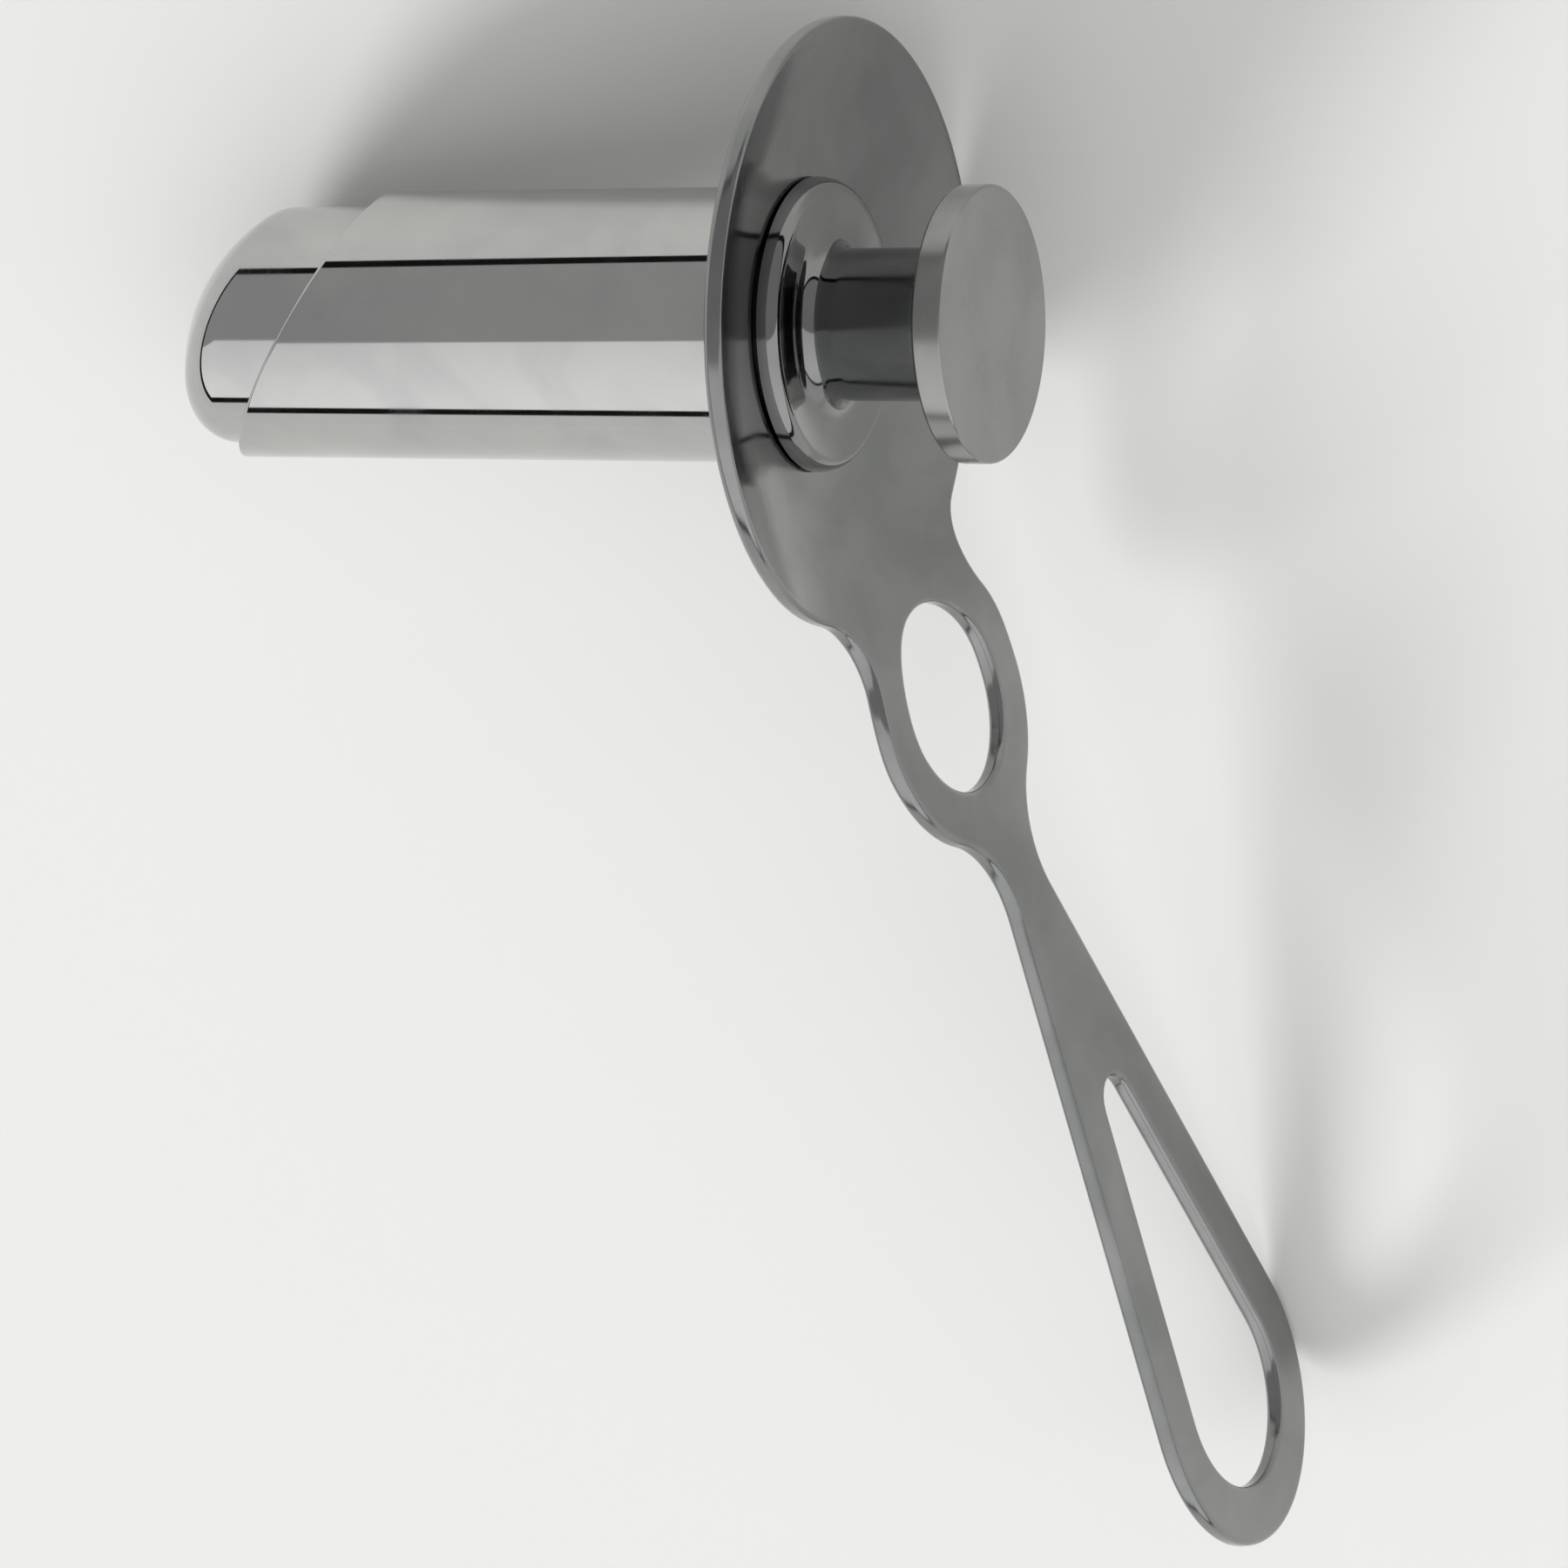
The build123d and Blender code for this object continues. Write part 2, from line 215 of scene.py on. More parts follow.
@dataclass(frozen=True)
class SteelFinish:
    """One finish of stainless steel.

    Args:
        name: Name of the material.
        bright: sRGB colour of the cleanest metal. On the sheet and bar finishes this and the dull
            colour are set below plain steel, as painted shade.
        dull: sRGB colour where polish has left a faint haze.
        smooth: Roughness of the cleanest metal.
        rough: Roughness where the haze is strongest.
        grain: Which way the finishing marks run.
        mark_mm: Spacing of the marks, in millimetres.
        mark_depth_mm: Depth of the marks, in millimetres.
        haze_mm: Size of the hazy patches, in millimetres.
    """

    name: str
    bright: str
    dull: str
    smooth: float
    rough: float
    grain: Grain
    mark_mm: float
    mark_depth_mm: float
    haze_mm: float = 14.0

    def marks(self, tree: bpy.types.NodeTree, place: bpy.types.NodeSocket) -> bpy.types.NodeSocket:
        """Draw noise out along the finishing marks.

        Args:
            tree: The material's node tree.
            place: Output socket with the place in the instrument's frame, in mm.

        Returns:
            Output socket with the marks' height, from 0 to 1.
        """
        drawn = place
        if self.grain is Grain.TURNED:
            parts = add_node(tree, "ShaderNodeSeparateXYZ", {0: place}).outputs
            across = add_node(tree, "ShaderNodeCombineXYZ", {"Y": parts["Y"], "Z": parts["Z"]})
            out = {0: across.outputs[0]}
            radius = add_node(tree, "ShaderNodeVectorMath", out, operation="LENGTH")
            rings = {"X": parts["X"], "Y": radius.outputs["Value"]}
            drawn = add_node(tree, "ShaderNodeCombineXYZ", rings).outputs[0]
        fine = 1 / self.mark_mm
        scale = tuple(fine * share for share in self.grain.value)
        stretched = add_node(
            tree, "ShaderNodeVectorMath", {0: drawn, 1: scale}, operation="MULTIPLY"
        )
        noise = add_node(
            tree,
            "ShaderNodeTexNoise",
            {"Vector": stretched.outputs[0], "Scale": 1.0, "Detail": 3.0, "Roughness": 0.6},
        )
        return noise.outputs[0]

    def material(self, where: InstrumentFrame) -> bpy.types.Material:
        """Build the node material.

        Args:
            where: The instrument's frame, which the marks follow.

        Returns:
            The material.
        """
        made = bpy.data.materials.new(self.name)
        made.use_nodes = True
        tree = made.node_tree
        shader = tree.nodes["Principled BSDF"]
        shader.inputs["Metallic"].default_value = 1.0
        coords = add_node(tree, "ShaderNodeTexCoord")
        place = add_node(
            tree,
            "ShaderNodeMapping",
            {
                "Vector": coords.outputs["Object"],
                "Location": where.origin,
                "Rotation": where.turn().to_euler(),
                "Scale": (MM, MM, MM),
            },
            vector_type="TEXTURE",
        ).outputs[0]
        marks = self.marks(tree, place)
        haze = add_node(
            tree,
            "ShaderNodeTexNoise",
            {
                "Vector": place,
                "Scale": 1 / self.haze_mm,
                "Detail": 4.0,
                "Roughness": 0.55,
                "Distortion": 0.4,
            },
        ).outputs[0]
        patches = add_node(
            tree,
            "ShaderNodeMapRange",
            {"Value": haze, "From Min": HAZE_START, "From Max": HAZE_FULL},
            interpolation_type="SMOOTHSTEP",
        ).outputs[0]
        tone = add_node(
            tree,
            "ShaderNodeMix",
            {"Factor": patches, 6: linear_colour(self.bright), 7: linear_colour(self.dull)},
            data_type="RGBA",
        )
        tree.links.new(tone.outputs[2], shader.inputs["Base Color"])
        streaks = add_node(tree, "ShaderNodeMath", {0: marks, 1: patches}, operation="MULTIPLY")
        rough = add_node(
            tree,
            "ShaderNodeMapRange",
            {
                "Value": streaks.outputs[0],
                "From Max": STREAK_FULL,
                "To Min": self.smooth,
                "To Max": self.rough,
            },
        ).outputs[0]
        tree.links.new(rough, shader.inputs["Roughness"])
        bump = add_node(
            tree,
            "ShaderNodeBump",
            {"Height": marks, "Distance": self.mark_depth_mm * MM, "Strength": 1.0},
        )
        tree.links.new(bump.outputs[0], shader.inputs["Normal"])
        return made


# Mirror-polished 18/8 stainless tube: clear reflections, with the belt's rings just showing.
# The marks are drawn about five times coarser than real so that they show in the render.
MIRROR_TUBE = SteelFinish(
    "mirror_polished_stainless", "#bdbdbb", "#b3b4b3", 0.03, 0.09, Grain.TURNED, 0.35, 0.0002
)
# Rolled stainless sheet, stamped and buffed: a softer shine with lengthwise strokes. Its colours
# are painted shade, set well below plain steel so that the flange and handle mirror darkly.
SHADED_BUFFED_SHEET = SteelFinish(
    "buffed_sheet_painted_shade", "#909190", "#848685", 0.13, 0.23, Grain.BUFFED, 0.45, 0.0006
)
# Free-cutting stainless bar, turned and polished, with faint turned rings. Its colours are painted
# shade, set well below plain steel so that the disc and stem mirror darkly.
SHADED_POLISHED_BAR = SteelFinish(
    "polished_bar_painted_shade", "#8c8d8c", "#828483", 0.06, 0.14, Grain.TURNED, 0.4, 0.0004
)
# Turned stainless bar, fine satin: the knob's faces mirror nothing sharply. Its colours are
# painted shade, set below plain steel so that the faces read as an even grey.
SHADED_SATIN_BAR = SteelFinish(
    "satin_bar_painted_shade", "#999997", "#8f908e", 0.2, 0.3, Grain.TURNED, 0.3, 0.0006
)


def lathe(mesh: bmesh.types.BMesh, profile: list[Place]) -> None:
    """Turn a profile round the tube's axis.

    Args:
        mesh: Mesh that gets the shape.
        profile: Points along the profile: place along the axis and radius, in mm.
    """
    verts = [mesh.verts.new((x, 0.0, radius)) for x, radius in profile]
    edges = [mesh.edges.new(pair) for pair in zip(verts, verts[1:])]
    bmesh.ops.spin(
        mesh,
        geom=verts + edges,
        cent=(0, 0, 0),
        axis=(1, 0, 0),
        angle=FULL_TURN,
        steps=LATHE_STEPS,
        use_merge=True,
    )
    bmesh.ops.remove_doubles(mesh, verts=mesh.verts, dist=SAME_PLACE)
    bmesh.ops.recalc_face_normals(mesh, faces=mesh.faces)


def quarter(centre: Place, along: float, out: float) -> list[Place]:
    """Points of a quarter ellipse in a profile, from its outermost point to its furthest along.

    Args:
        centre: Place along the axis and radius of its centre, in mm.
        along: Half axis along the tube, in mm.
        out: Half axis across the tube, in mm.

    Returns:
        The points, both ends among them.
    """
    turns = [math.pi / 2 * step / ARC_STEPS for step in range(ARC_STEPS + 1)]
    return [(centre[0] + along * math.sin(turn), centre[1] + out * math.cos(turn)) for turn in turns]


def round_edges(mesh: bmesh.types.BMesh, edges: Edges, radius: float) -> None:
    """Round edges.

    Args:
        mesh: Mesh that holds the edges.
        edges: Edges to round.
        radius: How far the rounding reaches from each edge, in mm.
    """
    bmesh.ops.bevel(
        mesh,
        geom=edges,
        offset=radius,
        offset_type="OFFSET",
        segments=ROUNDING_STEPS,
        profile=0.5,
        affect="EDGES",
        material=-1,
        clamp_overlap=True,
    )


def off_axis(point: Vector) -> float:
    """Distance of a point from the tube's axis, in mm."""
    return math.hypot(point.y, point.z)


@dataclass
class Workshop:
    """What every piece needs to be finished and put in place.

    Args:
        where: The instrument's frame.
        steels: Materials built so far, by name.
    """

    where: InstrumentFrame
    steels: dict[str, bpy.types.Material] = field(default_factory=dict)

    def steel(self, finish: SteelFinish) -> bpy.types.Material:
        """The material of a finish, built once.

        Args:
            finish: The finish.

        Returns:
            Its material.
        """
        if finish.name not in self.steels:
            self.steels[finish.name] = finish.material(self.where)
        return self.steels[finish.name]

    def finish_piece(
        self, mesh: bmesh.types.BMesh, name: str, finish: SteelFinish, body: str, node: str
    ) -> bpy.types.Object:
        """Lay a mesh in the model's frame and hand it over as a finished piece.

        Args:
            mesh: The piece's mesh, in instrument millimetres. It is freed.
            name: Name of the piece.
            finish: Its steel.
            body: CAD body that it rides on.
            node: CAD node that it stands for.

        Returns:
            The piece's object.
        """
        bmesh.ops.transform(mesh, matrix=self.where.laid(), verts=mesh.verts)
        bmesh.ops.recalc_face_normals(mesh, faces=mesh.faces)
        data = bpy.data.meshes.new(name)
        mesh.to_mesh(data)
        mesh.free()
        data.polygons.foreach_set("use_smooth", [True] * len(data.polygons))
        data.set_sharp_from_angle(angle=SHARP_CREASE)
        piece = bpy.data.objects.new(name, data)
        bpy.context.scene.collection.objects.link(piece)
        data.materials.append(self.steel(finish))
        weighted = piece.modifiers.new("even_shading", "WEIGHTED_NORMAL")
        weighted.keep_sharp = True
        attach(piece, body)
        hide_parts(node)
        LOG.info("%s: %d faces", name, len(data.polygons))
        return piece


@dataclass
class SheathTube:
    """The round tube that stays in place, cut obliquely at its far end.

    Args:
        radius: Outer radius.
        wall: Wall thickness.
        seat_x: Near end, in the flange.
        cut_x: Where the oblique cut crosses the axis.
        cut_slope: How far the cut runs along the tube for each mm across it.
        lip_round: Rounding of the cut's two lips.
    """

    radius: float = 15.0
    wall: float = 1.0
    seat_x: float = -4.3
    cut_x: float = -66.4
    cut_slope: float = 0.70
    lip_round: float = 0.45

    def build(self, shop: Workshop) -> bpy.types.Object:
        """Turn a long wall, cut its far end obliquely, close the cut and round its lips.

        Args:
            shop: Workshop that finishes the piece.

        Returns:
            The piece's object.
        """
        mesh = bmesh.new()
        near, far = self.seat_x, 2 * self.cut_x
        bore = self.radius - self.wall
        lathe(mesh, [(far, self.radius), (near, self.radius), (near, bore), (far, bore)])
        cut = Vector((1.0, 0.0, -self.cut_slope)).normalized()
        stock = mesh.verts[:] + mesh.edges[:] + mesh.faces[:]
        bmesh.ops.bisect_plane(
            mesh, geom=stock, plane_co=(self.cut_x, 0, 0), plane_no=cut, clear_inner=True
        )
        lips = [edge for edge in mesh.edges if edge.is_boundary]
        bmesh.ops.bridge_loops(mesh, edges=lips)
        bmesh.ops.recalc_face_normals(mesh, faces=mesh.faces)
        round_edges(mesh, lips, self.lip_round)
        return shop.finish_piece(
            mesh, "oblique_tube", MIRROR_TUBE, "sheath", "sheath_tube"
        )


@dataclass
class HandlePlate:
    """Dished flange, finger ring and loop handle, stamped from one sheet.

    Plan places are millimetres down from the tube's axis for the flange, and down the leaning
    handle from its waist for the ring and the loop.

    Args:
        thick: Thickness of the sheet.
        edge_round: Rounding of its rims, as buffing leaves them.
        tube_hole_r: Hole that the tube is soldered into.
        flange_half_width: Half of the flange across the handle.
        flange_half_height: Half of the flange along the handle.
        flange_rise: How far the flange's oval sits above the axis.
        dish_floor_r: Radius of the flat floor round the stop disc.
        dish_floor_x: That floor's place along the tube.
        dish_depth: How far the rim rises over the floor.
        dish_power: How sharply the dish curls up towards its rim.
        lean: How far the handle leans out of the plane across the tube, in radians.
        forward: Place of the handle's face along the tube, at the waist.
        waist_down: Waist between flange and ring, down from the axis.
        waist_half: Half of the waist's width.
        waist_flange_round: Concave corner above the waist.
        waist_ring_round: Concave corner below the waist.
        blend_above: Where the dish starts to turn into the handle, above the waist.
        blend_below: Where that ends, below the waist.
        ring_at: Centre of the finger ring.
        ring_r: Its outer radius.
        finger_hole_r: Radius of its hole.
        neck_tip_at: Centre of the loop's narrow round, in the neck.
        neck_tip_r: Radius of that round.
        neck_round: Concave corner between ring and loop.
        loop_at: Centre of the loop's wide end.
        loop_r: Radius of the wide end.
        slot_r: Radius of the slot's wide end.
        slot_tip_at: Centre of the slot's narrow end.
        slot_tip_r: Radius of the narrow end.
        flange_steps: Facets round the whole flange.
        tube_hole_steps: Facets round the tube's hole.
        finger_hole_steps: Facets round the finger hole.
        near_tube_hole: How far past the tube's hole a point still counts as its own.
        near_finger_hole: How far past the finger hole a point still counts as its own.
        rim_band: Width of the even band of facets along every rim.
        cell: Side of the square facets between the rims.
        hole_wall_middle: Middle of the finger hole's wall, off the handle's face plane.
        rim_share: Faces whose normal leans less than this along the tube are side walls.
    """

    thick: float = 2.0
    edge_round: float = 0.65
    tube_hole_r: float = 15.0
    flange_half_width: float = 33.8
    flange_half_height: float = 32.9
    flange_rise: float = 0.1
    dish_floor_r: float = 17.0
    dish_floor_x: float = -4.5
    dish_depth: float = 4.9
    dish_power: float = 1.6
    lean: float = math.radians(13.6)
    forward: float = 2.2
    waist_down: float = 33.528
    waist_half: float = 14.5
    waist_flange_round: float = 6.5
    waist_ring_round: float = 9.5
    blend_above: float = 16.5
    blend_below: float = 13.5
    ring_at: float = 11.236
    ring_r: float = 17.0
    finger_hole_r: float = 10.75
    neck_tip_at: float = 22.836
    neck_tip_r: float = 1.56
    neck_round: float = 12.0
    loop_at: float = 102.836
    loop_r: float = 18.3
    slot_r: float = 11.45
    slot_tip_at: float = 64.036
    slot_tip_r: float = 3.2
    flange_steps: int = 240
    tube_hole_steps: int = 128
    finger_hole_steps: int = 96
    near_tube_hole: float = 0.5
    near_finger_hole: float = 1.5
    rim_band: float = 0.9
    cell: float = 1.3
    hole_wall_middle: float = -1.16
    rim_share: float = 0.6

    def face_x(self, y: float, z: float) -> float:
        """Place of the plate's grip-side face along the tube.

        Args:
            y: Place across the instrument, in mm.
            z: Place up from the tube's axis, in mm.

        Returns:
            The face's X there, in mm.
        """
        stretch = self.flange_half_width / self.flange_half_height
        radius = math.hypot(y, (z - self.flange_rise) * stretch)
        rise = max(radius - self.dish_floor_r, 0.0) / (self.flange_half_width - self.dish_floor_r)
        dish = self.dish_floor_x + self.dish_depth * rise**self.dish_power
        handle = self.forward + (-z - self.waist_down) * math.tan(self.lean)
        blend = self.blend_above + self.blend_below
        share = ease((-z - self.waist_down + self.blend_above) / blend)
        return (1 - share) * dish + share * handle

    def hole_place(self, lean: float) -> Vector:
        """Find the middle of the finger hole's wall.

        Args:
            lean: The handle's lean as packed, in radians.

        Returns:
            The place in the instrument's frame, in mm.
        """
        down = Vector((math.sin(lean), 0, -math.cos(lean)))
        normal = Vector((math.cos(lean), 0, math.sin(lean)))
        waist = Vector((self.forward, 0, -self.waist_down))
        return waist + down * self.ring_at + normal * self.hole_wall_middle

    def arc(self, mesh: bmesh.types.BMesh, centre: Place, start: Place, end: Place) -> None:
        """Draw the shorter arc between two plan points by spinning a vertex.

        Args:
            mesh: Mesh that gets the arc's edges.
            centre: Centre of the arc.
            start: Where it starts.
            end: Where it ends.
        """
        middle = Vector((*centre, 0.0))
        first, last = Vector((*start, 0.0)) - middle, Vector((*end, 0.0)) - middle
        turn = math.atan2(first.cross(last).z, first.dot(last))
        steps = max(MIN_ARC_STEPS, round(abs(turn) * first.length / self.rim_band))
        vert = mesh.verts.new(middle + first)
        bmesh.ops.spin(mesh, geom=[vert], cent=middle, axis=(0, 0, 1), angle=turn, steps=steps)

    def teardrop_side(
        self, end_at: float, end_r: float, tip_at: float, tip_r: float
    ) -> tuple[float, Place, Place]:
        """Straight side of a teardrop.

        Args:
            end_at: Place of the large round end.
            end_r: Its radius.
            tip_at: Place of the small tip.
            tip_r: Its radius.

        Returns:
            The side's slope, and where it touches the tip and the end.
        """
        slope = math.asin((end_r - tip_r) / (end_at - tip_at))
        tip, end = (
            (at - radius * math.sin(slope), radius * math.cos(slope))
            for at, radius in ((tip_at, tip_r), (end_at, end_r))
        )
        return slope, tip, end

    def line(self, mesh: bmesh.types.BMesh, start: Place, end: Place) -> None:
        """Draw a straight run of edges about one cell long each.

        Args:
            mesh: Mesh that gets the edges.
            start: Where the run starts.
            end: Where it ends.
        """
        first, last = Vector((*start, 0.0)), Vector((*end, 0.0))
        steps = max(1, round((last - first).length / self.cell))
        step = (last - first) / steps
        vert = mesh.verts.new(first)
        bmesh.ops.spin(
            mesh, geom=[vert], cent=first, axis=(0, 0, 1), angle=0.0, dvec=step, steps=steps
        )

    def oval_corner(self) -> tuple[Place, Place]:
        """Find the concave corner between the flange's oval and the waist by halving.

        Returns:
            Where the oval meets the corner, and the corner's centre.
        """
        low, high = 0.0, math.pi / 2
        down, out = self.flange_half_height, self.flange_half_width
        for _ in range(HALVINGS):
            turn = (low + high) / 2
            sine, cosine = math.sin(turn), math.cos(turn)
            touch = (down * cosine - self.flange_rise, out * sine)
            normal = Vector((out * cosine, down * sine)).normalized()
            if touch[1] + self.waist_flange_round * (normal.y - 1) < self.waist_half:
                low = turn
            else:
                high = turn
        corner = Vector(touch) + normal * self.waist_flange_round
        return touch, (corner.x, corner.y)

    def flange_half(self, mesh: bmesh.types.BMesh) -> None:
        """Draw half of the flange's outline, from its top to the waist.

        Args:
            mesh: Mesh that gets the edges.
        """
        touch, centre = self.oval_corner()
        size = Matrix.Diagonal((self.flange_half_height, self.flange_half_width, 1.0, 1.0))
        place = Matrix.Translation((-self.flange_rise, 0, 0)) @ size
        whole = bmesh.ops.create_circle(
            mesh, radius=1.0, segments=self.flange_steps, matrix=place
        )["verts"]
        edges = list(dict.fromkeys(edge for vert in whole for edge in vert.link_edges))
        for point, normal in (((0, 0, 0), (0, -1, 0)), ((touch[0], 0, 0), (1, 0, 0))):
            left = [item for item in whole + edges if item.is_valid]
            cut = bmesh.ops.bisect_plane(
                mesh, geom=left, plane_co=point, plane_no=normal, clear_outer=True
            )["geom"]
            whole = [item for item in cut if isinstance(item, bmesh.types.BMVert)]
            edges = [item for item in cut if isinstance(item, bmesh.types.BMEdge)]
        self.arc(mesh, centre, touch, (self.waist_down, self.waist_half))

    def handle_half(self, mesh: bmesh.types.BMesh) -> None:
        """Draw half of the handle's outline in its own plane, from waist to loop's end.

        Args:
            mesh: Mesh that gets the edges.
        """
        corner = (0.0, self.waist_half + self.waist_ring_round)
        reach = self.ring_r / (self.ring_r + self.waist_ring_round)
        upper = (self.ring_at + (corner[0] - self.ring_at) * reach, corner[1] * reach)
        slope, _, end_touch = self.teardrop_side(
            self.loop_at, self.loop_r, self.neck_tip_at, self.neck_tip_r
        )
        sine, cosine = math.sin(slope), math.cos(slope)
        across = self.neck_tip_r + self.neck_round + sine * (self.ring_at - self.neck_tip_at)
        along = math.sqrt((self.ring_r + self.neck_round) ** 2 - across**2)
        neck = (
            self.ring_at + along * cosine - across * sine,
            along * sine + across * cosine,
        )
        foot = (neck[0] + self.neck_round * sine, neck[1] - self.neck_round * cosine)
        reach = self.ring_r / (self.ring_r + self.neck_round)
        lower = (self.ring_at + (neck[0] - self.ring_at) * reach, neck[1] * reach)
        self.arc(mesh, corner, (0.0, self.waist_half), upper)
        self.arc(mesh, (self.ring_at, 0.0), upper, lower)
        self.arc(mesh, neck, lower, foot)
        self.line(mesh, foot, end_touch)
        self.arc(mesh, (self.loop_at, 0.0), end_touch, (self.loop_at + self.loop_r, 0.0))

    def slot_half(self, mesh: bmesh.types.BMesh) -> None:
        """Draw half of the loop's teardrop slot.

        Args:
            mesh: Mesh that gets the edges.
        """
        _, tip, end = self.teardrop_side(
            self.loop_at, self.slot_r, self.slot_tip_at, self.slot_tip_r
        )
        self.arc(mesh, (self.slot_tip_at, 0.0), (self.slot_tip_at - self.slot_tip_r, 0.0), tip)
        self.line(mesh, tip, end)
        self.arc(mesh, (self.loop_at, 0.0), end, (self.loop_at + self.slot_r, 0.0))

    def lay_handle(self, verts: list[bmesh.types.BMVert]) -> None:
        """Move points from the handle's own plane to their places seen along the tube.

        Args:
            verts: Points whose X is their place down the leaning handle.
        """
        for vert in verts:
            down, out = vert.co.x, vert.co.y
            place = self.waist_down + down * math.cos(self.lean)
            for _ in range(LAY_ROUNDS):
                rise = self.face_x(out, -place) - self.forward
                place = self.waist_down + (down - rise * math.sin(self.lean)) / math.cos(self.lean)
            vert.co.x = place

    def outline(self, mesh: bmesh.types.BMesh) -> None:
        """Draw the whole outline and the three holes as flat edges: X down, Y across.

        Args:
            mesh: Mesh that gets the edges.
        """
        self.handle_half(mesh)
        self.slot_half(mesh)
        ring = Matrix.Translation((self.ring_at, 0, 0))
        bmesh.ops.create_circle(
            mesh, radius=self.finger_hole_r, segments=self.finger_hole_steps, matrix=ring
        )
        self.lay_handle(mesh.verts[:])
        self.flange_half(mesh)
        bmesh.ops.create_circle(mesh, radius=self.tube_hole_r, segments=self.tube_hole_steps)
        halves = [vert for vert in mesh.verts if not self.in_round_hole(vert.co)]
        edges = [edge for edge in mesh.edges if not self.in_round_hole(edge.verts[0].co)]
        bmesh.ops.mirror(mesh, geom=halves + edges, axis="Y", merge_dist=MIRROR_WELD)
        bmesh.ops.remove_doubles(mesh, verts=mesh.verts, dist=OUTLINE_WELD)

    def in_round_hole(self, point: Vector) -> bool:
        """Tell whether a plan point belongs to a round hole.

        Args:
            point: The point.

        Returns:
            True on the rim of the tube's hole or of the finger hole.
        """
        if math.hypot(point.x, point.y) < self.tube_hole_r + self.near_tube_hole:
            return True
        ring = self.waist_down + self.ring_at * math.cos(self.lean)
        return math.hypot(point.x - ring, point.y) < self.finger_hole_r + self.near_finger_hole

    def cell_cuts(self, mesh: bmesh.types.BMesh) -> None:
        """Cut the middle of the flat plate into square cells, so that it can be dished smoothly.

        Args:
            mesh: The filled flat plate.
        """
        bmesh.ops.inset_region(
            mesh,
            faces=mesh.faces[:],
            thickness=self.rim_band,
            use_boundary=True,
            use_even_offset=True,
        )
        for face in mesh.faces:
            in_band = any(edge.is_boundary for edge in face.edges)
            face.material_index = RIM_FACE if in_band else MIDDLE_FACE
        lowest = self.waist_down + self.loop_at + self.loop_r
        spans = (
            (Vector((1, 0, 0)), -self.flange_half_height, lowest),
            (Vector((0, 1, 0)), -self.flange_half_width, self.flange_half_width),
        )
        for normal, low, high in spans:
            for step in range(int((high - low) / self.cell) + 1):
                inner = [face for face in mesh.faces if face.material_index == MIDDLE_FACE]
                edges = dict.fromkeys(edge for face in inner for edge in face.edges)
                verts = dict.fromkeys(vert for face in inner for vert in face.verts)
                place = normal * (low + (step + 0.5) * self.cell)
                parts = [*inner, *edges, *verts]
                bmesh.ops.bisect_plane(
                    mesh, geom=parts, dist=SAME_PLACE, plane_co=place, plane_no=normal
                )
        spare = []
        for edge in mesh.edges:
            if any(face.material_index == RIM_FACE for face in edge.link_faces):
                continue
            run = edge.verts[1].co - edge.verts[0].co
            if min(abs(run.x), abs(run.y)) > OFF_SQUARE:
                spare.append(edge)
        bmesh.ops.dissolve_edges(mesh, edges=spare, use_verts=True)
        for face in mesh.faces:
            face.material_index = 0

    def dish(self, mesh: bmesh.types.BMesh) -> None:
        """Raise the flat plate to its dished and leaning face, and give it its thickness.

        Args:
            mesh: The flat plate, cut into cells.
        """
        for vert in mesh.verts:
            down, out = vert.co.x, vert.co.y
            vert.co = (self.face_x(out, -down), out, -down)
        front = mesh.faces[:]
        drawn = bmesh.ops.extrude_face_region(mesh, geom=front, use_keep_orig=True)["geom"]
        along = Vector((-self.thick / math.cos(self.lean), 0, 0))
        square = Vector((math.cos(self.lean), 0, math.sin(self.lean))) * -self.thick
        for vert in (item for item in drawn if isinstance(item, bmesh.types.BMVert)):
            share = ease((-vert.co.z - self.waist_down) / (2 * self.waist_flange_round) + 0.5)
            vert.co += along.lerp(square, share)
        bmesh.ops.recalc_face_normals(mesh, faces=mesh.faces)

    def rim_edges(self, mesh: bmesh.types.BMesh) -> Edges:
        """Find the edges that buffing has rounded.

        Args:
            mesh: The plate with its thickness.

        Returns:
            Edges where the plate's faces meet its side walls, outside the tube's hole.
        """
        rims = []
        for edge in mesh.edges:
            if off_axis(edge.verts[0].co) < self.tube_hole_r + self.near_tube_hole:
                continue
            first, second = (abs(face.normal.x) < self.rim_share for face in edge.link_faces)
            if first != second:
                rims.append(edge)
        return rims

    def build(self, shop: Workshop) -> bpy.types.Object:
        """Build, dish, round and finish the plate.

        Args:
            shop: Workshop that finishes the piece.

        Returns:
            The piece's object.
        """
        mesh = bmesh.new()
        self.outline(mesh)
        bmesh.ops.triangle_fill(mesh, use_beauty=True, edges=mesh.edges[:], normal=(0, 0, 1))
        self.cell_cuts(mesh)
        self.dish(mesh)
        round_edges(mesh, self.rim_edges(mesh), self.edge_round)
        return shop.finish_piece(
            mesh, "flange_and_handle", SHADED_BUFFED_SHEET, "sheath", "handle_plate"
        )


